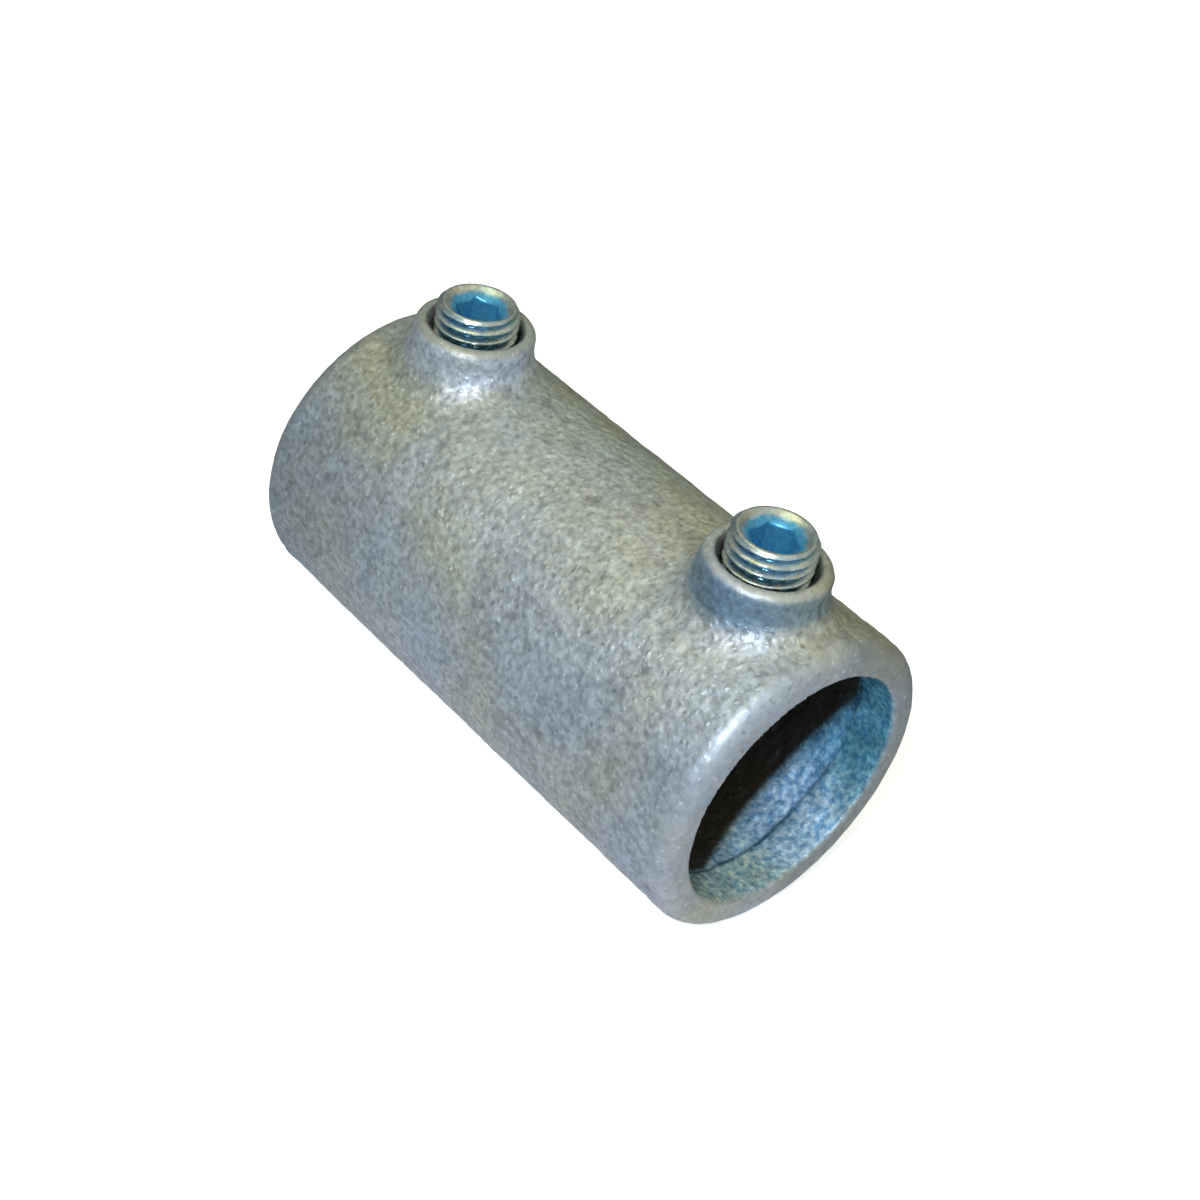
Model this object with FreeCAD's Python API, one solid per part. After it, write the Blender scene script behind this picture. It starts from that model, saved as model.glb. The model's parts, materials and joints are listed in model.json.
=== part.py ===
import FreeCAD, Part
import math
import os

# Straight tube coupler: a cast sleeve that joins two 48.3 mm scaffold tubes end to end.
# Each tube is held by one hexagon-socket set screw in a boss on top of the sleeve.
# All lengths are in millimetres. X runs along the sleeve, Z points up through the bosses.
# The origin lies under the middle of the sleeve, on the surface that it stands on.

# Tube and sleeve
TUBE_D = 48.3
BORE_CLEARANCE = 0.4                      # radial gap between tube and bore
BORE_R = TUBE_D / 2 + BORE_CLEARANCE
SLEEVE_R = 31.0
SLEEVE_L = 119.0
END_ROUND = 4.0                           # outer corner of each mouth
MOUTH_ROUND = 1.0                         # inner corner of each mouth
STOP_HEIGHT = 2.5                         # rib that stops the tube ends at mid-length
STOP_L = 4.0
AXIS_Z = SLEEVE_R

# Bosses
BOSS_X = 40.0
BOSS_R = 11.8
BOSS_HEIGHT = 38.7                        # top face above the sleeve's axis
BOSS_RIM_ROUND = 1.4
BOSS_FOOT_FILLET = 3.2
COUNTERSINK_R = 9.4
COUNTERSINK_DEPTH = 1.4

# Set screws, M16 x 2 with a cup point; the thread is drawn as its major diameter
SCREW_D = 16.0
SCREW_L = 16.0
THREAD_PITCH = 2.0
THREAD_CLEARANCE = 0.06                   # radial gap in the boss
HEAD_CHAMFER = 1.1
POINT_CHAMFER = 2.4
CUP_D = 8.0
CUP_DEPTH = 2.2
HEX_AF = 8.0
HEX_DEPTH = 8.0
HEX_COUNTERSINK_D = 10.8
RIGHT_SCREW_TOP = 43.9                    # top face above the sleeve's axis
LEFT_SCREW_TOP = 42.8

X_AXIS = FreeCAD.Vector(1, 0, 0)
Z_AXIS = FreeCAD.Vector(0, 0, 1)


def revolved(outline, axis):
    """Turn a closed outline of edges, drawn in the XZ plane, a full turn about an axis."""
    face = Part.Face(Part.Wire(outline))
    return face.revolve(FreeCAD.Vector(0, 0, 0), axis, 360)


def polygon(points):
    """Edges of a closed polygon in the XZ plane."""
    corners = [FreeCAD.Vector(x, 0, z) for x, z in points]
    return Part.makePolygon(corners + corners[:1]).Edges


def rounded_cylinder(radius, length, edge_round, start, axis):
    """Cylinder with its far rim rounded."""
    body = Part.makeCylinder(radius, length, start, axis)
    far = start + axis * length
    rims = [e for e in body.Edges if isinstance(e.Curve, Part.Circle)
            and (e.Curve.Center - far).Length < 1e-6]
    return body.makeFillet(edge_round, rims)


def sleeve_blank():
    """Outside of the sleeve, solid, lying along X with its axis through the origin."""
    half = SLEEVE_L / 2
    right = rounded_cylinder(SLEEVE_R, half, END_ROUND, FreeCAD.Vector(0, 0, 0), X_AXIS)
    left = rounded_cylinder(SLEEVE_R, half, END_ROUND, FreeCAD.Vector(0, 0, 0), -X_AXIS)
    return right.fuse(left).removeSplitter()


def boss_blank(x):
    """Solid boss that rises from the sleeve's axis, with a rounded rim."""
    return rounded_cylinder(BOSS_R, BOSS_HEIGHT, BOSS_RIM_ROUND, FreeCAD.Vector(x, 0, 0), Z_AXIS)


def foot_edges(shape):
    """Saddle-shaped edges where the bosses meet the sleeve."""
    found = []
    for edge in shape.Edges:
        box = edge.BoundBox
        round_boss = abs(box.XLength - 2 * BOSS_R) < 0.1
        if round_boss and box.ZLength > 1.0:
            found.append(edge)
    return found


def bore_core():
    """Space inside the sleeve: two tube sockets with a stop rib between them."""
    half = SLEEVE_L / 2
    stop = STOP_L / 2
    stop_r = BORE_R - STOP_HEIGHT
    flare = MOUTH_ROUND
    half_outline = [
        (half + 1, BORE_R + flare + 1),
        (half, BORE_R + flare),
        (half - flare, BORE_R),
        (stop, BORE_R),
        (stop, stop_r),
    ]
    mirrored = [(-x, z) for x, z in reversed(half_outline)]
    ends = [(-half - 1, 0), (half + 1, 0)]
    return revolved(polygon(half_outline + mirrored + ends), X_AXIS)


def screw_hole(x):
    """Threaded hole of one boss, drawn plain, with the countersink at its mouth."""
    hole_r = SCREW_D / 2 + THREAD_CLEARANCE
    hole = Part.makeCylinder(hole_r, BOSS_HEIGHT + 1, FreeCAD.Vector(x, 0, 0), Z_AXIS)
    slope = (COUNTERSINK_R - hole_r) / COUNTERSINK_DEPTH
    floor = FreeCAD.Vector(x, 0, BOSS_HEIGHT - COUNTERSINK_DEPTH)
    depth = COUNTERSINK_DEPTH + 1
    sink = Part.makeCone(hole_r, COUNTERSINK_R + slope, depth, floor, Z_AXIS)
    return hole.fuse(sink)


def coupler_sleeve():
    """The one-piece casting: sleeve, bosses, tube sockets and screw holes."""
    blank = sleeve_blank()
    for x in (BOSS_X, -BOSS_X):
        blank = blank.fuse(boss_blank(x))
    blank = blank.removeSplitter()
    blank = blank.makeFillet(BOSS_FOOT_FILLET, foot_edges(blank))
    casting = blank.cut(bore_core())
    for x in (BOSS_X, -BOSS_X):
        casting = casting.cut(screw_hole(x))
    return casting


def hexagon_socket():
    """Hexagon socket below a screw's top face at z = 0, with its drilled floor and countersink."""
    corner_r = HEX_AF / 2 / math.cos(math.radians(30))
    corners = []
    for i in range(6):
        angle = math.radians(60 * i)
        corners.append(FreeCAD.Vector(corner_r * math.cos(angle), corner_r * math.sin(angle), 1))
    wire = Part.makePolygon(corners + corners[:1])
    prism = Part.Face(wire).extrude(FreeCAD.Vector(0, 0, -HEX_DEPTH - 1))
    drill_r = HEX_AF / 2
    drill_tip = drill_r * math.tan(math.radians(30))
    drill = Part.makeCone(drill_r, 0, drill_tip, FreeCAD.Vector(0, 0, -HEX_DEPTH), -Z_AXIS)
    mouth_r = HEX_COUNTERSINK_D / 2
    mouth = Part.makeCone(mouth_r + 1, 0, (mouth_r + 1) / 2, FreeCAD.Vector(0, 0, 0.5), -Z_AXIS)
    return prism.fuse(drill).fuse(mouth)


def set_screw(x, top):
    """One set screw, standing with its top face at the given height above the sleeve's axis."""
    radius = SCREW_D / 2
    cup_r = CUP_D / 2
    outline = polygon([
        (0, 0),
        (radius - HEAD_CHAMFER, 0),
        (radius, -HEAD_CHAMFER),
        (radius, -SCREW_L + POINT_CHAMFER),
        (radius - POINT_CHAMFER, -SCREW_L + 0.4),
        (cup_r, -SCREW_L),
        (0, -SCREW_L + CUP_DEPTH),
    ])
    screw = revolved(outline, Z_AXIS).cut(hexagon_socket())
    screw.translate(FreeCAD.Vector(x, 0, top))
    return screw


def export(node, shape):
    """Set a piece on the origin's level and write its file."""
    shape.translate(FreeCAD.Vector(0, 0, AXIS_Z))
    if not shape.isValid() or len(shape.Solids) != 1:
        raise ValueError(node + " is not one valid solid")
    shape.exportStep("parts/" + node + ".step")
    print(node, "volume", round(shape.Volume), "mm3", shape.BoundBox)


os.makedirs("parts", exist_ok=True)
export("coupler_sleeve", coupler_sleeve())
export("set_screw_right", set_screw(BOSS_X, RIGHT_SCREW_TOP))
export("set_screw_left", set_screw(-BOSS_X, LEFT_SCREW_TOP))
print("thread pitch", THREAD_PITCH, "mm per turn")
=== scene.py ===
import json
import math

import bmesh
import bpy
import numpy as np
from mathutils import Matrix, Vector


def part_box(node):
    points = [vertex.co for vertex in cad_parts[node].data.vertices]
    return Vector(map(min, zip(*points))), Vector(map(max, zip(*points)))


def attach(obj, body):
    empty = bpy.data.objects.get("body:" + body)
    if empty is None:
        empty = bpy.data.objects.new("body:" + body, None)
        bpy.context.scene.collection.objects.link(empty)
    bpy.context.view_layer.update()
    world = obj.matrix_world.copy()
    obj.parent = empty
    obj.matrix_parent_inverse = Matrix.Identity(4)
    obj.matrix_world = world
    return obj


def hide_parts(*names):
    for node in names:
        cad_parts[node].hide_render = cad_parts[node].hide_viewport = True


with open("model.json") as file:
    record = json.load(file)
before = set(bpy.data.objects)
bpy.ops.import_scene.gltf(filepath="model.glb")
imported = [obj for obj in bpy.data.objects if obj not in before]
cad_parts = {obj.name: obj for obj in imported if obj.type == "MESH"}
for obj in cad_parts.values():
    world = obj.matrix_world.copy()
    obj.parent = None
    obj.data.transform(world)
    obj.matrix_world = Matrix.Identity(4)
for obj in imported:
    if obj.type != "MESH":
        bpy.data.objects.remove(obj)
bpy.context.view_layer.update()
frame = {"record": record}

# Looks of a straight tube coupler: a hot-dip galvanised cast sleeve with two set screws.
# Shapes are worked out in millimetres about the sleeve's own axis and middle, with X along
# the sleeve and Z up through the bosses, and are moved to the frame when a mesh is made.

MM = 0.001


def node_box(node):
    """Lowest and highest corner of a CAD node, in millimetres."""
    low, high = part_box(node)
    return np.array(low) / MM, np.array(high) / MM


def centre_x(node):
    """Place of a CAD node's middle along the sleeve."""
    low, high = node_box(node)
    return (low[0] + high[0]) / 2


def mount(name):
    """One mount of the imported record."""
    return next(m for m in frame["record"]["mounts"] if m["name"] == name)


SLEEVE_LOW, SLEEVE_HIGH = node_box("coupler_sleeve")
HALF_L = (SLEEVE_HIGH[0] - SLEEVE_LOW[0]) / 2
SLEEVE_R = (SLEEVE_HIGH[1] - SLEEVE_LOW[1]) / 2
AXIS = np.array([0.0, 0.0, SLEEVE_LOW[2] + SLEEVE_R])
BORE_R = mount("tube_socket_right")["dims"]["r_mm"]

# Casting
SKIN = 0.20                    # the surface stays this far inside the CAD faces, to leave room for grain
END_ROUND = 3.4                # at both ends of the sleeve, outside
MOUTH_ROUND = 0.3              # at both ends of the bore
LAND_L = 9.0                   # smooth ring inside each mouth
LAND_INSET = 0.2               # the ring is a little tighter than the CAD bore
CORED_DEPTH = 0.55             # step out from the ring to the rough cored wall
CORED_TAPER_L = 30.0           # the cored wall comes back to the CAD bore over this length
STOP_HALF_L = 2.0              # rib in the middle of the bore
STOP_HEIGHT = 2.5
BOSS_R = 11.45                 # at the top of each boss
BOSS_DRAFT = 0.05              # the boss widens by this much for each millimetre down
BOSS_RIM_ROUND = 1.6
BOSS_TOP = SLEEVE_HIGH[2] - AXIS[2]
FOOT_FILLET = 5.0
HOLE_R = 9.2                   # mouth of each screw hole
HOLE_RIM_ROUND = 0.5
BORE_SHADOW_TILT = np.array([0.0, 0.46, -0.496])    # painted shadow: the bore turns nearly black where the key light's shadow of the rim starts
BOSS_WALL_SHADE = {"set_screw_right": 1.0, "set_screw_left": 0.0}     # painted shade and dark reflection on the wall round each boss, dull and blue
BOSS_WALL_LIGHT = {"set_screw_right": 0.0, "set_screw_left": 0.8}       # painted light on the wall round each boss, brighter and bluer
CELL = 0.66                    # grid step of the casting's mesh

# Set screws and their threads
SCREWS = {"set_screw_right": "right_screw", "set_screw_left": "left_screw"}
PITCH = 2.0
THREAD_DEPTH = 0.6134 * PITCH  # metric external thread
HALF_CREST = 0.0625            # flat parts of the thread, as shares of the pitch
HALF_ROOT = 0.125
ROWS_PER_PITCH = 18            # in the mesh of each screw
SHANK_INSET = 0.03             # the thread's crests stay this far inside the CAD shank
HEX_AF = 8.0
HEX_DEPTH = 8.0
HEX_COUNTERSINK_R = 6.4
HEX_COUNTERSINK_SLOPE = 0.8
SOCKET_SHADE_R = 5.3            # painted blue shade in the socket starts part of the way down the countersink
HEAD_CHAMFER = 1.1
POINT_CHAMFER = 2.4
CUP_R = 4.0
CUP_DEPTH = 2.2
DRILL_SLOPE = 0.577            # cone at the bottom of the socket, rise for each millimetre of radius
COLUMNS = 144                  # around each screw, a multiple of six so that hexagon corners are kept
THREAD_CLEARANCE = 0.06        # between a screw and its tapped hole
LINING_WALL = 0.35             # how far the tapped hole's lining reaches into the casting
SINK_TOP = 0.7                 # countersink of the tapped hole, below the top of the boss
SINK_FLOOR = 2.2

# Camera, at the picture's angle
CAMERA_AZIMUTH = 41.14
CAMERA_ELEVATION = 37.01
CAMERA_ROLL = 13.12
CAMERA_DISTANCE = 403.6
CAMERA_OFFSET = (4.31, 0.36)   # right and up of the sleeve's middle
CAMERA_LENS = 64.42
CAMERA_SENSOR = 36.0

# Light
KEY_DIRECTION = (0.35, -0.64, 0.685)
KEY_DISTANCE = 900
KEY_SIZE = 70
KEY_POWER = 3.5
KEY_COLOUR = (0.76, 0.83, 1.0)
HALO_SIZE = 420                # wide soft glow round the key
HALO_POWER = 1.4
TOP_DIRECTION = (-0.2, -0.3, 1.0)
TOP_DISTANCE = 1000
TOP_SIZE = 600
TOP_POWER = 0.75
TOP_COLOUR = (1.0, 0.94, 0.40)
STUDIO_SIDES = (               # colour of the soft light from each side
    ((1, 0, 0), (0.50, 0.53, 0.56)),
    ((-1, 0, 0), (0.12, 0.14, 0.14)),
    ((0, -1, 0), (0.16, 0.26, 0.36)),
    ((0, 1, 0), (0.18, 0.18, 0.15)),
    ((0, 0, 1), (0.60, 0.60, 0.44)),
    ((0, 0, -1), (0.68, 0.73, 0.86)),
)

# White surroundings
STAGE_GLOW = 0.6
STAGE_R = 4.0                  # metres
DOME_ROWS = 8
DOME_COLUMNS = 48
DOME_TOP = 84                  # elevation of the dome's last row, in degrees


# ---------------------------------------------------------------- noise

def lattice_gradients(seed, count=512):
    """Unit vectors and a shuffle for gradient noise."""
    rng = np.random.default_rng(seed)
    vectors = rng.normal(size=(count, 3))
    vectors /= np.linalg.norm(vectors, axis=1, keepdims=True)
    return vectors, rng.permutation(count)


def gradient_noise(points, size, seed):
    """Smooth noise between about -1 and 1, with features of the given size in millimetres."""
    far_corner = 1000.0            # keeps every lattice number positive
    to_unit = 1.6
    vectors, shuffle = lattice_gradients(seed)
    count = len(shuffle)
    place = points / size + far_corner
    cell = np.floor(place).astype(np.int64)
    local = place - cell
    fade = local ** 3 * (local * (local * 6 - 15) + 10)
    total = np.zeros(len(points))
    for corner in np.ndindex(2, 2, 2):
        offset = np.array(corner)
        key = cell + offset
        index = shuffle[(shuffle[(shuffle[key[:, 0] % count] + key[:, 1]) % count] + key[:, 2]) % count]
        value = np.einsum("ij,ij->i", vectors[index], local - offset)
        weight = np.prod(np.where(offset == 1, fade, 1 - fade), axis=1)
        total += value * weight
    return total * to_unit


# ---------------------------------------------------------------- casting shape

def round_union(a, b, radius):
    """Join two distance fields with a fillet."""
    u = np.maximum(radius - a, 0)
    v = np.maximum(radius - b, 0)
    return np.maximum(radius, np.minimum(a, b)) - np.sqrt(u * u + v * v)


def round_intersection(a, b, radius):
    """Keep what is inside both distance fields, with a rounded edge."""
    u = np.maximum(radius + a, 0)
    v = np.maximum(radius + b, 0)
    return np.minimum(-radius, np.maximum(a, b)) + np.sqrt(u * u + v * v)


def step(value, start, end):
    """Smooth ramp from 0 at start to 1 at end."""
    t = np.clip((value - start) / (end - start), 0, 1)
    return t * t * (3 - 2 * t)


def bore_radius(x, angle):
    """Radius inside the sleeve: a ring at the mouth, a step to the cored wall, and a stop rib."""
    depth = HALF_L - np.abs(x)
    # The ring's inner edge wanders a little, as a cored edge does
    wander = 0.2 * np.sin(3 * angle + 1.0) + 0.15 * np.sin(8 * angle + np.sign(x))
    edge = LAND_L + wander
    cored = (LAND_INSET + CORED_DEPTH) * step(depth, edge, edge + 0.5)
    taper = CORED_DEPTH * step(depth, edge + 2, edge + CORED_TAPER_L)
    stop_face = HALF_L - STOP_HALF_L
    stop = STOP_HEIGHT * step(depth, stop_face - 0.6, stop_face + 0.6)
    return BORE_R - LAND_INSET + cored - taper - stop


def casting_field(p):
    """Signed distance to the casting, negative inside. p is an array of points."""
    x, y, z = p[:, 0], p[:, 1], p[:, 2]
    radial = np.hypot(y, z)
    outside = round_intersection(radial - (SLEEVE_R - SKIN), np.abs(x) - (HALF_L - SKIN), END_ROUND)
    for node in SCREWS:
        from_axis = np.hypot(x - centre_x(node), y)
        wall = from_axis - BOSS_R - BOSS_DRAFT * (BOSS_TOP - z)
        boss = round_intersection(wall, z - (BOSS_TOP - SKIN), BOSS_RIM_ROUND)
        boss = np.maximum(boss, -z)
        outside = round_union(outside, boss, FOOT_FILLET)
    bore = radial - bore_radius(x, np.arctan2(y, z))
    solid = round_intersection(outside, -bore, MOUTH_ROUND)
    for node in SCREWS:
        hole = np.maximum(np.hypot(x - centre_x(node), y) - HOLE_R, -z)
        solid = round_intersection(solid, -hole, HOLE_RIM_ROUND)
    return solid


def gradient(field, p, reach=0.05):
    """Gradient of a field at points, by central differences."""
    result = np.empty_like(p)
    for axis in range(3):
        offset = np.zeros(3)
        offset[axis] = reach
        result[:, axis] = (field(p + offset) - field(p - offset)) / (2 * reach)
    return result


def surface_net(field, low, high, cell):
    """Quad mesh of the surface where a field is zero, from one vertex in each grid cell it crosses."""
    axes = [np.arange(a, b + cell, cell) for a, b in zip(low, high)]
    shape = tuple(len(a) for a in axes)
    grid = np.stack(np.meshgrid(*axes, indexing="ij"), axis=-1).reshape(-1, 3)
    values = np.concatenate([field(part) for part in np.array_split(grid, 12)]).reshape(shape)
    inside = values < 0

    corners = list(np.ndindex(2, 2, 2))
    cells = tuple(n - 1 for n in shape)
    count = np.zeros(cells, dtype=np.int8)
    for i, j, k in corners:
        count += inside[i:i + cells[0], j:j + cells[1], k:k + cells[2]]
    active = np.argwhere((count > 0) & (count < 8))
    ids = -np.ones(cells, dtype=np.int64)
    ids[tuple(active.T)] = np.arange(len(active))

    corner_values = {c: values[tuple((active + c).T)] for c in corners}
    total = np.zeros((len(active), 3))
    crossings = np.zeros(len(active))
    for first in corners:
        for axis in range(3):
            if first[axis]:
                continue
            second = tuple(c + (axis == n) for n, c in enumerate(first))
            a, b = corner_values[first], corner_values[second]
            crossed = (a < 0) != (b < 0)
            share = np.where(crossed, a / np.where(crossed, a - b, 1), 0)
            place = np.array(first, dtype=float) + share[:, None] * np.eye(3)[axis]
            total += np.where(crossed[:, None], place, 0)
            crossings += crossed
    origin = np.array([a[0] for a in axes])
    vertices = origin + (active + total / crossings[:, None]) * cell

    quads = []
    for axis in range(3):
        u, v = (axis + 1) % 3, (axis + 2) % 3
        here = np.moveaxis(inside, axis, 0)
        change = np.argwhere(here[:-1] != here[1:])
        spot = np.empty((len(change), 3), dtype=np.int64)
        spot[:, axis] = change[:, 0]
        rest = [n for n in range(3) if n != axis]
        spot[:, rest[0]] = change[:, 1]
        spot[:, rest[1]] = change[:, 2]
        ring = []
        for du, dv in ((-1, -1), (0, -1), (0, 0), (-1, 0)):
            near = spot.copy()
            near[:, u] += du
            near[:, v] += dv
            ring.append(ids[tuple(near.T)])
        quad = np.stack(ring, axis=1)
        leaving = inside[tuple(spot.T)]
        quads.append(np.where(leaving[:, None], quad, quad[:, ::-1]))
    return vertices, np.concatenate(quads)


def settle(field, vertices, rounds):
    """Move vertices onto the field's surface."""
    for _ in range(rounds):
        slope = gradient(field, vertices)
        steepness = np.maximum((slope ** 2).sum(axis=1), 0.05)
        vertices = vertices - slope * (field(vertices) / steepness)[:, None]
    return vertices


def relax(vertices, quads, share):
    """Move each vertex part of the way to the mean of its neighbours."""
    total = np.zeros_like(vertices)
    count = np.zeros(len(vertices))
    for n in range(4):
        a, b = quads[:, n], quads[:, (n + 1) % 4]
        for one, other in ((a, b), (b, a)):
            for axis in range(3):
                total[:, axis] += np.bincount(one, vertices[other, axis], len(vertices))
            count += np.bincount(one, minlength=len(vertices))
    return vertices + share * (total / count[:, None] - vertices)


def cast_grain(p, in_bore):
    """Height of the rough cast and galvanised skin, in millimetres, never above zero by more than SKIN."""
    swell = 0.10 * gradient_noise(p, 16.0, 1) + 0.06 * gradient_noise(p, 7.0, 2)
    lumps = 0.11 * gradient_noise(p, 3.2, 3) + 0.09 * gradient_noise(p, 1.9, 4)
    pits = -0.16 * step(gradient_noise(p, 3.0, 5), 0.42, 0.8)
    runs = 0.10 * step(gradient_noise(p * np.array([1, 1, 0.45]), 6.0, 6), 0.25, 0.8)
    height = swell + lumps + pits + runs * in_bore
    return np.minimum(height * (1 + 0.6 * in_bore) - 0.02, SKIN - 0.01)


# ---------------------------------------------------------------- mesh helpers

def new_object(name, vertices, faces, material, body):
    """Make a smooth mesh object from points in millimetres about the sleeve's middle."""
    mesh = bpy.data.meshes.new(name)
    mesh.from_pydata(((vertices + AXIS) * MM).tolist(), [], faces)
    mesh.validate()
    mesh.shade_smooth()
    mesh.materials.append(material)
    piece = bpy.data.objects.new(name, mesh)
    bpy.context.scene.collection.objects.link(piece)
    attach(piece, body)
    return piece


def point_attribute(piece, name, values):
    """Store one number for each vertex, for the material to read."""
    layer = piece.data.attributes.new(name, "FLOAT", "POINT")
    layer.data.foreach_set("value", np.asarray(values, dtype=np.float32))


def crease(piece, degrees):
    """Keep edges sharper than an angle crisp."""
    mesh = bmesh.new()
    mesh.from_mesh(piece.data)
    for edge in mesh.edges:
        edge.smooth = edge.calc_face_angle(0.0) < math.radians(degrees)
    mesh.to_mesh(piece.data)
    mesh.free()


def grid_faces(rows, columns):
    """Quads of a tube of rows of points, closed around its columns."""
    faces = []
    for i in range(rows - 1):
        for j in range(columns):
            k = (j + 1) % columns
            faces.append((i * columns + j, i * columns + k, (i + 1) * columns + k, (i + 1) * columns + j))
    return faces


# ---------------------------------------------------------------- pieces

def round_bosses(p, normal, amounts):
    """The amount given for a boss where a point is on its upright wall or foot, 0 elsewhere."""
    result = np.zeros(len(p))
    for node in SCREWS:
        from_axis = np.hypot(p[:, 0] - centre_x(node), p[:, 1])
        near = 1 - step(from_axis, BOSS_R + 0.4, BOSS_R + 2.4)
        outside_hole = step(from_axis, HOLE_R + 0.5, HOLE_R + 1.2)
        below_rim = 1 - step(p[:, 2], BOSS_TOP - 1.8, BOSS_TOP - 0.5)
        upright = 1 - step(np.abs(normal[:, 2]), 0.35, 0.95)
        result = np.maximum(result, amounts[node] * near * outside_hole * below_rim * upright * (p[:, 2] > 0))
    return result


def casting_surface():
    """Vertices, quads and outward normals of the smooth casting."""
    margin = 2 * CELL
    low = np.array([-HALF_L, -SLEEVE_R, -SLEEVE_R]) - margin
    high = np.array([HALF_L, SLEEVE_R, BOSS_TOP]) + margin
    vertices, quads = surface_net(casting_field, low, high, CELL)
    vertices = settle(casting_field, vertices, 2)
    for _ in range(3):
        vertices = settle(casting_field, relax(vertices, quads, 0.5), 1)
    vertices = settle(casting_field, vertices, 2)
    normal = gradient(casting_field, vertices)
    normal /= np.maximum(np.linalg.norm(normal, axis=1, keepdims=True), 1e-6)
    return vertices, quads, normal


def casting_zones(p, normal):
    """Where each change in the casting's colour lies, painted light and shade among them: numbers for every
    vertex, which the material reads by name.

    The tints follow the tones that the object was seen with, which may be light as well as metal.
    """
    x, y, z = p[:, 0], p[:, 1], p[:, 2]
    radial = np.hypot(y, z)
    depth = HALF_L - np.abs(x)
    in_bore = step(BORE_R + 2.2 - radial, 0, 1.2) * step(depth, 0.2, 1.2)
    rough_bore = in_bore * step(depth, LAND_L - 1, LAND_L + 1)
    dressed = np.maximum(1 - step(depth, 1.5, 5.0), step(z, BOSS_TOP - 1.8, BOSS_TOP - 0.8))
    dressed = dressed * (1 - in_bore)
    # Painted shade: the upper bore, which the key light misses, is made deep blue
    painted_blue_shade = in_bore * step(z, -20.0, -6.0)
    at_step = step(depth, LAND_L - 0.9, LAND_L - 0.2) * (1 - step(depth, LAND_L + 0.3, LAND_L + 1.3))
    uneven = 0.75 + 0.5 * gradient_noise(p, 4.0, 31)
    # Edge of the painted shadow in the bore, along the key light's shadow of the rim
    bore_shadow_edge = np.maximum(LAND_L + 0.5, p @ BORE_SHADOW_TILT)
    # Painted shadow of the near boss on the body beside it
    painted_boss_shadow = step(x, 42.0, 50.0) * step(y, 0.0, 8.0)
    far_end = 0.9 * step(-x, 10.0, HALF_L)
    return {
        "in_bore": in_bore,
        "depth": depth,                                              # from the nearer mouth
        "grain": cast_grain(p, rough_bore) * (1 - 0.5 * dressed),    # height, in millimetres
        "painted_boss_shade": round_bosses(p, normal, BOSS_WALL_SHADE),                 # painted shade and dark reflection, dull and blue
        "painted_boss_light": round_bosses(p, normal, BOSS_WALL_LIGHT),                     # painted light, brighter
        "scale": in_bore * step(depth - bore_shadow_edge, -0.2, 1.0),      # nearly black: painted shadow of the rim and painted shade deep in the bore
        "painted_blue_shade": painted_blue_shade,                                              # deep blue: painted shade in the upper bore
        # Painted light: the back half of the bore, where the key light falls, is made lighter and bluer
        "painted_bore_light": in_bore * step(y, 0.0, 12.0),
        "step_shade": np.clip(in_bore * at_step * (1 - painted_blue_shade) * uneven, 0, 1),
        "relief": 0.6 - 0.4 * dressed + 0.2 * in_bore + 0.2 * rough_bore,    # how strong the fine bumps are
        "dark_end_and_painted_shade": np.maximum.reduce([far_end, painted_boss_shadow, step(y, 3.0, 22.0)]),    # darker towards the far end; painted shade on the back and in the near boss's shadow
        "painted_warm_light": step(y, -4.0, 10.0) * (1 - step(x, 50.0, HALF_L)),  # yellower: painted warm tint of the top light on the top and back
    }


def make_casting(material):
    """The sleeve with its bosses, as one closed mesh with cast grain in its shape."""
    vertices, quads, normal = casting_surface()
    zones = casting_zones(vertices, normal)
    vertices = vertices + normal * zones["grain"][:, None]
    piece = new_object("sleeve_casting", vertices, quads.tolist(), material, "sleeve")
    for name, values in zones.items():
        point_attribute(piece, name, values)
    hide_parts("coupler_sleeve")


def thread_height(turns):
    """Height of a thread's profile from root, 0, to crest, 1, against turns along it."""
    from_crest = np.abs((turns + 0.5) % 1.0 - 0.5)
    flank_end = 0.5 - HALF_ROOT
    ramp = np.clip((flank_end - from_crest) / (flank_end - HALF_CREST), 0, 1)
    return 0.6 * ramp + 0.4 * ramp * ramp * (3 - 2 * ramp)    # straight flanks, slightly rounded


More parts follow.
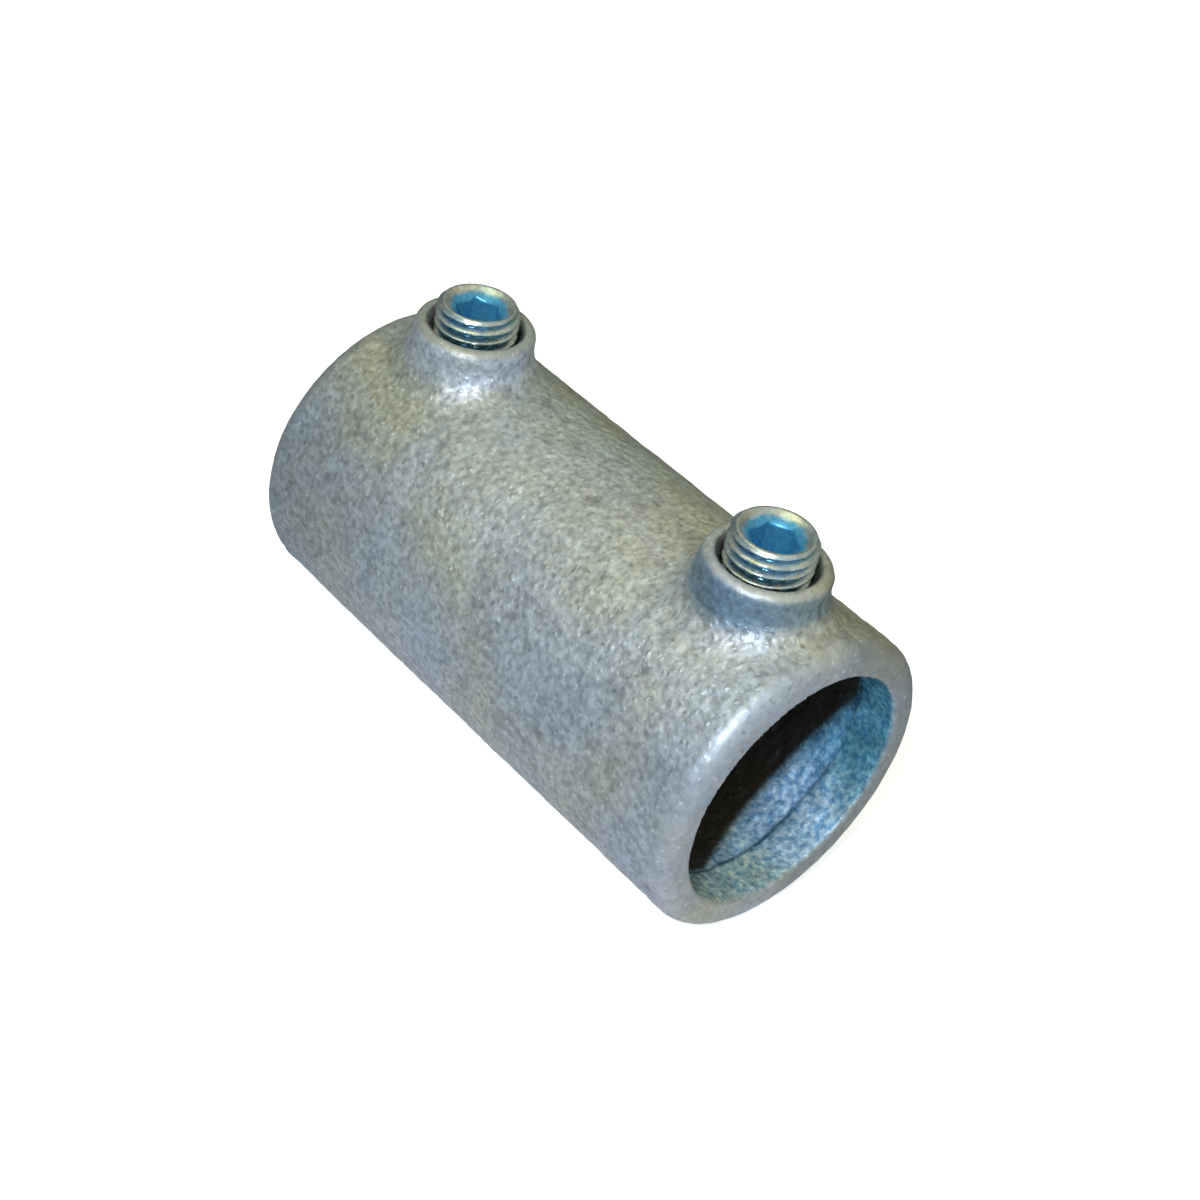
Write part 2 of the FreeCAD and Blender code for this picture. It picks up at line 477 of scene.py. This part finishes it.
def make_screw(node, body, material):
    """A cup-point set screw with a helical thread and a hexagon socket."""
    low, high = node_box(node)
    length = high[2] - low[2]
    radius = (high[0] - low[0]) / 2
    angle = np.arange(COLUMNS) * 2 * math.pi / COLUMNS
    rows = []

    def ring(r, z):
        rows.append(np.stack([r * np.cos(angle), r * np.sin(angle), z * np.ones(COLUMNS)], axis=1))

    # Cup point
    for t in (0.08, 0.5, 0.95):
        ring(CUP_R * t, -length + CUP_DEPTH * (1 - t))
    ring(CUP_R + 0.12, -length)
    ring(CUP_R + 0.35, -length + 0.02)

    # Thread, cut back by the chamfers at both ends
    point_rim, head_rim = 0.4, 0.35      # the thread stops this far from each end
    first, last = -length + point_rim, -head_rim
    heights = np.linspace(first, last, int(round((last - first) / (PITCH / ROWS_PER_PITCH))))
    turn = angle / (2 * math.pi)
    for z in heights:
        thread = radius - SHANK_INSET - THREAD_DEPTH * (1 - thread_height(z / PITCH - turn))
        head_limit = radius - SHANK_INSET - np.maximum(0, z + HEAD_CHAMFER)
        point_limit = radius - POINT_CHAMFER + (z - first) * POINT_CHAMFER / (POINT_CHAMFER - point_rim)
        ring(np.minimum(thread, np.minimum(head_limit, point_limit)), z)

    # Rounded rim of the head
    edge = radius - HEAD_CHAMFER
    ring(edge + 0.22, -0.18)
    ring(edge + 0.10, -0.05)
    ring(edge - 0.10, 0)

    # Countersink, hexagon and drilled floor
    corner = HEX_AF / 2 / np.cos((angle + math.pi / 6) % (math.pi / 3) - math.pi / 6)
    ring(HEX_COUNTERSINK_R + 0.15, 0)
    ring(HEX_COUNTERSINK_R - 0.05, -0.06)
    for t in (0.3, 0.6, 0.9):
        r = HEX_COUNTERSINK_R * (1 - t) + corner * t
        ring(r, -(HEX_COUNTERSINK_R - r) * HEX_COUNTERSINK_SLOPE)
    ring(corner, -(HEX_COUNTERSINK_R - corner) * HEX_COUNTERSINK_SLOPE - 0.12)
    for t in np.linspace(0.28, 1, 9):
        ring(corner, -HEX_DEPTH * t)
    for t in (0.97, 0.6, 0.3, 0.04):
        ring(HEX_AF / 2 * t, -HEX_DEPTH - HEX_AF / 2 * (1 - t) * DRILL_SLOPE)

    vertices = np.concatenate(rows)
    faces = grid_faces(len(rows), COLUMNS)
    faces.append(tuple(range(COLUMNS))[::-1])
    faces.append(tuple(range(len(vertices) - COLUMNS, len(vertices))))
    centre = (low + high) / 2 - AXIS
    vertices = vertices + np.array([centre[0], centre[1], high[2] - AXIS[2]])
    from_top = high[2] - AXIS[2] - vertices[:, 2]
    from_axis = np.hypot(vertices[:, 0] - centre[0], vertices[:, 1] - centre[1])
    piece = new_object(node + "_threaded", vertices, faces, material, body)
    root_r = radius - THREAD_DEPTH
    on_thread = step(from_top, 0.6, 1.2) * (from_axis > CUP_R + 1)
    above_point = from_top < HEX_DEPTH + 4
    # Painted shade: the thread's roots are coloured dark teal
    point_attribute(piece, "root", on_thread * (1 - step(from_axis, root_r, root_r + 0.7)))
    # Painted shade: the socket and the lower countersink are coloured deep blue
    point_attribute(piece, "socket", step(SOCKET_SHADE_R - from_axis, -0.15, 0.15) * above_point)
    crease(piece, 40)
    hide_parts(node)


def make_thread_lining(node, material):
    """The threaded wall and machined countersink of one boss's hole."""
    low, high = node_box(node)
    x = centre_x(node)
    radius = (high[0] - low[0]) / 2 + THREAD_CLEARANCE
    angle = np.arange(COLUMNS) * 2 * math.pi / COLUMNS
    turn = angle / (2 * math.pi)
    outer = HOLE_R + LINING_WALL
    sink_floor = BOSS_TOP - SINK_FLOOR
    sink_top = BOSS_TOP - SINK_TOP
    rows = []

    def ring(r, z):
        r = r * np.ones(COLUMNS)
        floor = np.sqrt((BORE_R + 0.3) ** 2 - (r * np.sin(angle)) ** 2)
        rows.append(np.stack([x + r * np.cos(angle), r * np.sin(angle), np.maximum(z, floor)], axis=1))

    ring(outer, 0)
    for z in np.linspace(BORE_R - 2.5, sink_floor, 130):
        ring(radius + 0.5 * THREAD_DEPTH * thread_height(z / PITCH - turn), z)
    ring(radius + 0.25, sink_floor + 0.15)
    ring(HOLE_R + 0.05, sink_top)
    ring(outer, sink_top - 0.3)
    rows.append(rows[0])
    vertices = np.concatenate(rows)
    faces = grid_faces(len(rows), COLUMNS)
    name = node.replace("set_screw", "tapped_hole")
    new_object(name, vertices, faces, material, "sleeve")


# ---------------------------------------------------------------- materials

class Nodes:
    """Small helper to build one material's node tree."""

    def __init__(self, name):
        self.material = bpy.data.materials.new(name)
        self.material.use_nodes = True
        self.tree = self.material.node_tree
        self.tree.nodes.clear()
        self.output = self.tree.nodes.new("ShaderNodeOutputMaterial")
        self.place = self.tree.nodes.new("ShaderNodeTexCoord").outputs["Object"]

    def link(self, source, socket):
        """Join an output to an input."""
        self.tree.links.new(source, socket)

    def node(self, kind, **settings):
        """Add a node and set its own properties."""
        made = self.tree.nodes.new(kind)
        for key, value in settings.items():
            setattr(made, key, value)
        return made

    def noise(self, size_mm, detail=3.0, roughness=0.5, distortion=0.0, stretch=None):
        """Noise with features of about size_mm."""
        made = self.node("ShaderNodeTexNoise")
        made.inputs["Scale"].default_value = 1 / (size_mm * MM)
        made.inputs["Detail"].default_value = detail
        made.inputs["Roughness"].default_value = roughness
        made.inputs["Distortion"].default_value = distortion
        self.link(self.stretched(stretch) if stretch else self.place, made.inputs["Vector"])
        return made.outputs["Fac"]

    def stretched(self, scale):
        """The object's own coordinates, scaled by a different amount along each axis."""
        made = self.node("ShaderNodeMapping")
        made.inputs["Scale"].default_value = scale
        self.link(self.place, made.inputs["Vector"])
        return made.outputs["Vector"]

    def dots(self, spacing_mm, radius_mm):
        """Ragged spots scattered about spacing_mm apart: 1 in their middle, 0 outside them."""
        made = self.node("ShaderNodeTexVoronoi")
        made.inputs["Scale"].default_value = 1 / (spacing_mm * MM)
        self.link(self.place, made.inputs["Vector"])
        reach = radius_mm / spacing_mm
        ragged = self.math("MULTIPLY_ADD", self.noise(radius_mm, 1.0), reach * 1.6, made.outputs["Distance"])
        return self.ramp(ragged, (reach * 1.1, 1.0), (reach * 1.7, 0.0))

    def ramp(self, value, *stops):
        """Map a value through stops of (position, colour or grey level)."""
        made = self.node("ShaderNodeValToRGB")
        elements = made.color_ramp.elements
        while len(elements) < len(stops):
            elements.new(0.5)
        for element, (position, colour) in zip(elements, stops):
            element.position = position
            rgb = colour if isinstance(colour, tuple) else (colour, colour, colour)
            element.color = (*rgb, 1)
        self.link(value, made.inputs["Fac"])
        return made.outputs["Color"]

    def mix(self, factor, a, b, blend="MIX"):
        """Mix two colours; any of the three may be a socket or a constant."""
        made = self.node("ShaderNodeMix", data_type="RGBA", blend_type=blend)
        for value, socket in ((factor, made.inputs[0]), (a, made.inputs[6]), (b, made.inputs[7])):
            if isinstance(value, bpy.types.NodeSocket):
                self.link(value, socket)
            elif isinstance(value, tuple):
                socket.default_value = (*value, 1)
            else:
                socket.default_value = value
        return made.outputs[2]

    def multiply(self, a, b):
        """Product of two colours."""
        return self.mix(1.0, a, b, "MULTIPLY")

    def tint(self, factor, colour, filter_colour):
        """Multiply a colour by another one, as far as the factor says."""
        return self.mix(factor, colour, self.multiply(colour, filter_colour))

    def math(self, operation, *values):
        """One arithmetic step; any value may be a socket or a constant."""
        made = self.node("ShaderNodeMath", operation=operation)
        for value, socket in zip(values, made.inputs):
            if isinstance(value, bpy.types.NodeSocket):
                self.link(value, socket)
            else:
                socket.default_value = value
        return made.outputs[0]

    def attribute(self, name):
        """A number stored on the mesh's vertices."""
        return self.node("ShaderNodeAttribute", attribute_name=name).outputs["Fac"]

    def bump(self, height, depth_mm, strength=1.0, below=None):
        """Fine relief, on top of another one if it is given."""
        made = self.node("ShaderNodeBump")
        made.inputs["Strength"].default_value = strength
        made.inputs["Distance"].default_value = depth_mm * MM
        self.link(height, made.inputs["Height"])
        if below:
            self.link(below, made.inputs["Normal"])
        return made.outputs["Normal"]

    def shader(self, colour, roughness, normal, metallic):
        """The surface itself; metallic may be a socket or a constant."""
        made = self.node("ShaderNodeBsdfPrincipled")
        if isinstance(metallic, bpy.types.NodeSocket):
            self.link(metallic, made.inputs["Metallic"])
        else:
            made.inputs["Metallic"].default_value = metallic
        self.link(colour, made.inputs["Base Color"])
        self.link(roughness, made.inputs["Roughness"])
        self.link(normal, made.inputs["Normal"])
        self.link(made.outputs["BSDF"], self.output.inputs["Surface"])
        return made


def zinc_in_bore(n, patina):
    """Colour inside the sleeve: a ring at the mouth, then the cored wall, then nearly black painted shadow.
    The bore's blue is painted shade and its lighter patch painted light.
    """
    ring_end, core_start = 8.6, 9.6             # depths, in millimetres
    span = 20.0
    depth = n.math("MULTIPLY", n.attribute("depth"), 1 / span)
    painted_blue_shade = n.attribute("painted_blue_shade")
    # Painted light on the lit back half of the mouth ring
    pale_tint = n.mix(n.attribute("painted_bore_light"), (0.74, 0.96, 0.96), (0.80, 1.10, 1.38))
    ring_tint = n.mix(painted_blue_shade, pale_tint, (0.26, 0.67, 0.84))
    core_tint = n.mix(painted_blue_shade, (0.76, 1.08, 1.42), (0.34, 0.76, 1.06))
    past_ring = n.ramp(depth, (ring_end / span, 0.0), (core_start / span, 1.0))
    tint = n.mix(past_ring, ring_tint, core_tint)
    tint = n.mix(n.attribute("step_shade"), tint, (0.12, 0.32, 0.46))
    # Flecks of random tone whose brightest ones are painted glints
    flecks_and_glints = n.ramp(n.noise(1.2, 2.0, 0.6),
                    (0.36, (0.42, 0.64, 0.82)), (0.50, (0.90, 0.97, 1.0)), (0.68, (1.66, 1.46, 1.32)))
    flecks_and_glints = n.multiply(flecks_and_glints, n.ramp(n.noise(3.6, 2.0, 0.5), (0.36, 0.78), (0.62, 1.14)))
    zinc = n.multiply(n.multiply(patina, tint), flecks_and_glints)
    # Painted shadow: nearly black where the rim's shadow from the key light and the deep bore's shade fall
    return n.mix(n.attribute("scale"), zinc, n.multiply(patina, (0.10, 0.08, 0.06)))


def galvanised_casting():
    """Hot-dip zinc on a sand casting: pebbled, mottled grey, rougher in the bore and bluer there with painted
    shade.
    """
    n = Nodes("galvanised_casting")
    patina = n.ramp(n.noise(24.0, 3.0, 0.5, 0.3),
                    (0.30, (0.49, 0.56, 0.61)), (0.50, (0.54, 0.56, 0.54)), (0.70, (0.58, 0.57, 0.45)))
    blotch = n.ramp(n.noise(4.5, 3.0, 0.6), (0.32, 0.90), (0.6, 1.04))
    relief = n.attribute("relief")
    speckle = n.ramp(n.noise(1.2, 1.5, 0.5), (0.32, 0.76), (0.50, 1.0), (0.68, 1.22))
    speckle = n.mix(n.ramp(relief, (0.2, 0.4), (0.6, 1.0)), (1, 1, 1), speckle)
    patches = n.noise(7.0, 2.0, 0.5)
    pits = n.math("MULTIPLY", n.dots(1.7, 0.55), n.ramp(patches, (0.42, 0.0), (0.6, 0.9)))
    sparks = n.math("MULTIPLY", n.dots(1.9, 0.50), n.ramp(patches, (0.42, 0.7), (0.6, 0.1)))
    colour = n.multiply(n.multiply(patina, blotch), speckle)
    colour = n.tint(pits, colour, (0.55, 0.58, 0.60))
    colour = n.mix(sparks, colour, (0.90, 0.92, 0.91))
    raised = n.math("MULTIPLY_ADD", n.attribute("grain"), 3.0, 0.7)
    colour = n.multiply(colour, n.ramp(raised, (0.0, 0.70), (0.5, 0.98), (1.0, 1.05)))
    # Painted shade on the back and beside the near boss, and a darker far end
    colour = n.tint(n.attribute("dark_end_and_painted_shade"), colour, (0.70, 0.71, 0.69))
    # Painted warm tint of the top light
    colour = n.tint(n.attribute("painted_warm_light"), colour, (1.0, 0.99, 0.84))
    # Painted shade and dark reflection on the near boss's wall
    colour = n.tint(n.attribute("painted_boss_shade"), colour, (0.43, 0.59, 0.75))
    # Painted light on the far boss's wall
    colour = n.tint(n.attribute("painted_boss_light"), colour, (1.20, 1.28, 1.52))
    colour = n.mix(n.attribute("in_bore"), colour, zinc_in_bore(n, patina))
    roughness = n.ramp(n.noise(2.2, 3.0, 0.6), (0.3, 0.40), (0.7, 0.56))
    pebbles = n.bump(n.math("MULTIPLY", n.noise(1.7, 0.8, 0.5), relief), 0.50)
    grit = n.bump(n.math("MULTIPLY", n.dots(1.5, 0.6), relief), 0.12, 1.0, pebbles)
    metallic = n.ramp(n.attribute("in_bore"), (0.0, 0.5), (1.0, 0.15))
    n.shader(colour, roughness, grit, metallic)
    return n.material


def tapped_casting():
    """Cut thread in the casting: darker, oily and less rough than the skin."""
    n = Nodes("tapped_casting")
    colour = n.ramp(n.noise(1.6, 3.0, 0.6), (0.3, (0.11, 0.115, 0.12)), (0.7, (0.27, 0.28, 0.28)))
    roughness = n.ramp(n.noise(0.8, 2.0), (0.3, 0.32), (0.7, 0.5))
    marks = n.bump(n.noise(0.5, 2.0, 0.6, 0.0, (1, 1, 4)), 0.03, 0.6)
    n.shader(colour, roughness, marks, 0.85)
    return n.material


def plated_steel():
    """Bright zinc plate: sharp highlights, painted blue shade in the socket and dark painted shade in the
    thread roots, with fine turning marks.
    """
    n = Nodes("zinc_plated_steel")
    tint = n.ramp(n.noise(3.0, 2.0, 0.5, 0.5),
                  (0.35, (0.68, 0.84, 0.95)), (0.55, (0.88, 0.95, 0.95)), (0.72, (0.85, 0.85, 0.70)))
    dull = n.ramp(n.noise(0.8, 3.0, 0.6), (0.35, 0.72), (0.6, 1.0))
    colour = n.multiply(tint, dull)
    # Painted shade in the thread's roots
    colour = n.mix(n.attribute("root"), colour, (0.13, 0.34, 0.46))
    socket = n.attribute("socket")
    # Painted blue shade in the socket
    colour = n.mix(socket, colour, n.multiply(dull, (0.10, 0.43, 0.67)))
    roughness = n.ramp(n.noise(1.5, 3.0, 0.6), (0.3, 0.20), (0.75, 0.34))
    marks = n.bump(n.noise(0.35, 2.0, 0.6, 0.0, (1, 1, 5)), 0.015, 0.6)
    metallic = n.ramp(socket, (0.0, 1.0), (1.0, 0.45))
    n.shader(colour, roughness, marks, metallic)
    return n.material


def pale_floor():
    """Plain white surroundings with a little glow of their own."""
    n = Nodes("pale_floor")
    colour = n.ramp(n.noise(900.0, 1.0), (0.3, 0.93), (0.7, 0.95))
    roughness = n.ramp(n.noise(400.0, 1.0), (0.3, 0.85), (0.7, 0.9))
    flat = n.bump(n.noise(60.0, 1.0), 0.01, 0.1)
    shader = n.shader(colour, roughness, flat, 0.0)
    shader.inputs["Emission Color"].default_value = (1, 1, 1, 1)
    shader.inputs["Emission Strength"].default_value = STAGE_GLOW
    return n.material


# ---------------------------------------------------------------- stage

def add_stage(name, corners, faces, material):
    """Part of the white surroundings. Only the camera sees it, so it doesn't change the studio's light."""
    mesh = bpy.data.meshes.new(name)
    mesh.from_pydata(corners, [], faces)
    mesh.materials.append(material)
    stage = bpy.data.objects.new(name, mesh)
    bpy.context.scene.collection.objects.link(stage)
    stage.visible_diffuse = False
    stage.visible_glossy = False
    return stage


def make_stage(material):
    """Large plain floor under the object, and a dome over it."""
    corners = [(-STAGE_R, -STAGE_R, 0), (STAGE_R, -STAGE_R, 0), (STAGE_R, STAGE_R, 0), (-STAGE_R, STAGE_R, 0)]
    add_stage("floor", corners, [(0, 1, 2, 3)], material)
    dome = []
    for height in np.radians(np.linspace(0, DOME_TOP, DOME_ROWS)):
        for angle in np.arange(DOME_COLUMNS) * 2 * math.pi / DOME_COLUMNS:
            across = STAGE_R * math.cos(height)
            dome.append((across * math.cos(angle), across * math.sin(angle), STAGE_R * math.sin(height)))
    faces = grid_faces(DOME_ROWS, DOME_COLUMNS)
    faces.append(tuple(range(len(dome) - DOME_COLUMNS, len(dome))))
    add_stage("backdrop", dome, faces, material).visible_shadow = False


def make_light(name, direction, distance, size, power, colour):
    """Soft square light that looks at the object's middle."""
    data = bpy.data.lights.new(name, "AREA")
    data.size = size * MM
    data.energy = power
    data.color = colour
    light = bpy.data.objects.new(name, data)
    place = Vector(direction).normalized() * distance
    light.location = (place + Vector(AXIS)) * MM
    light.rotation_euler = place.to_track_quat("Z", "Y").to_euler()
    bpy.context.scene.collection.objects.link(light)


def make_world():
    """Soft studio light that changes smoothly from side to side."""
    world = bpy.data.worlds.new("studio")
    world.use_nodes = True
    tree = world.node_tree
    direction = tree.nodes.new("ShaderNodeTexCoord").outputs["Generated"]

    def add(kind, operation):
        made = tree.nodes.new(kind)
        made.operation = operation
        return made

    total = None
    for side, colour in STUDIO_SIDES:
        facing = add("ShaderNodeVectorMath", "DOT_PRODUCT")
        facing.inputs[1].default_value = side
        front = add("ShaderNodeMath", "MAXIMUM")
        front.inputs[1].default_value = 0.0
        share = add("ShaderNodeMath", "POWER")
        share.inputs[1].default_value = 2.0
        light = add("ShaderNodeVectorMath", "SCALE")
        light.inputs[0].default_value = colour
        tree.links.new(direction, facing.inputs[0])
        tree.links.new(facing.outputs["Value"], front.inputs[0])
        tree.links.new(front.outputs[0], share.inputs[0])
        tree.links.new(share.outputs[0], light.inputs["Scale"])
        if total is not None:
            join = add("ShaderNodeVectorMath", "ADD")
            tree.links.new(total, join.inputs[0])
            tree.links.new(light.outputs[0], join.inputs[1])
            light = join
        total = light.outputs[0]
    tree.links.new(total, tree.nodes["Background"].inputs["Color"])
    bpy.context.scene.world = world


def make_camera():
    """Camera at the picture's angle."""
    azimuth = math.radians(CAMERA_AZIMUTH)
    elevation = math.radians(CAMERA_ELEVATION)
    back = Vector((math.sin(azimuth) * math.cos(elevation),
                   -math.cos(azimuth) * math.cos(elevation),
                   math.sin(elevation)))
    turn = Matrix.Rotation(math.radians(CAMERA_ROLL), 3, back)
    right = turn @ Vector((0, 0, 1)).cross(back).normalized()
    up = back.cross(right)
    data = bpy.data.cameras.new("camera")
    data.sensor_width = CAMERA_SENSOR
    data.lens = CAMERA_LENS
    data.clip_start = 0.01
    camera = bpy.data.objects.new("camera", data)
    place = back * CAMERA_DISTANCE + right * CAMERA_OFFSET[0] + up * CAMERA_OFFSET[1] + Vector(AXIS)
    rotation = Matrix((right, up, back)).transposed().to_4x4()
    camera.matrix_world = Matrix.Translation(place * MM) @ rotation
    bpy.context.scene.collection.objects.link(camera)
    bpy.context.scene.camera = camera


# ---------------------------------------------------------------- scene

make_camera()
make_world()
make_stage(pale_floor())
make_light("key", KEY_DIRECTION, KEY_DISTANCE, KEY_SIZE, KEY_POWER, KEY_COLOUR)
make_light("key_halo", KEY_DIRECTION, KEY_DISTANCE, HALO_SIZE, HALO_POWER, KEY_COLOUR)
make_light("top_fill", TOP_DIRECTION, TOP_DISTANCE, TOP_SIZE, TOP_POWER, TOP_COLOUR)
bpy.context.scene.view_settings.view_transform = "Standard"

casting_material = galvanised_casting()
tapped_material = tapped_casting()
steel_material = plated_steel()
make_casting(casting_material)
for screw_node, screw_body in SCREWS.items():
    make_screw(screw_node, screw_body, steel_material)
    make_thread_lining(screw_node, tapped_material)
